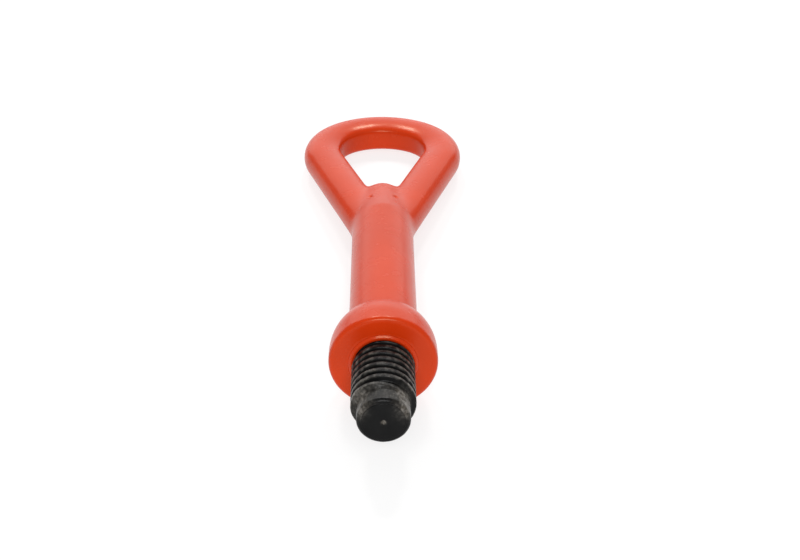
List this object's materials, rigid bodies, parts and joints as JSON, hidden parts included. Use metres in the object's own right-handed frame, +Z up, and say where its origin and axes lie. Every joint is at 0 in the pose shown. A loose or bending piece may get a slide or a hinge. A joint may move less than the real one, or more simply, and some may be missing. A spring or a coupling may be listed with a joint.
{
  "type": "screw-in vehicle towing eye",
  "caption": "Screw-in towing eye: a pear-shaped closed bow on a round shank, a bell-shaped collar and a black left-hand threaded stud with a plain pilot end.",
  "frame": {"origin": "on the ground under the middle of the whole, as it lies on its collar and its bow", "axes": "+Y from the threaded end to the bow, +X to the right in the plane of the bow, +Z up; the screw axis leans 3.8 degrees to Y, with the threaded end higher"},
  "size_m": [0.0642, 0.2074, 0.0348],
  "materials": {
    "orange_paint": "glossy orange-red enamel over steel, slightly wavy, thicker at the edges",
    "black_steel": "black phosphate over machined steel, satin, scuffed brown and grey on one side of the pilot"
  },
  "bodies": {
    "root": {"threaded_stud": "black_steel", "shank": "orange_paint", "collar": "orange_paint", "collar_weld": "orange_paint", "eye_bow": "orange_paint", "leg_weld_right": "orange_paint", "leg_weld_left": "orange_paint", "crotch_weld": "orange_paint"}
  },
  "joints": []
}
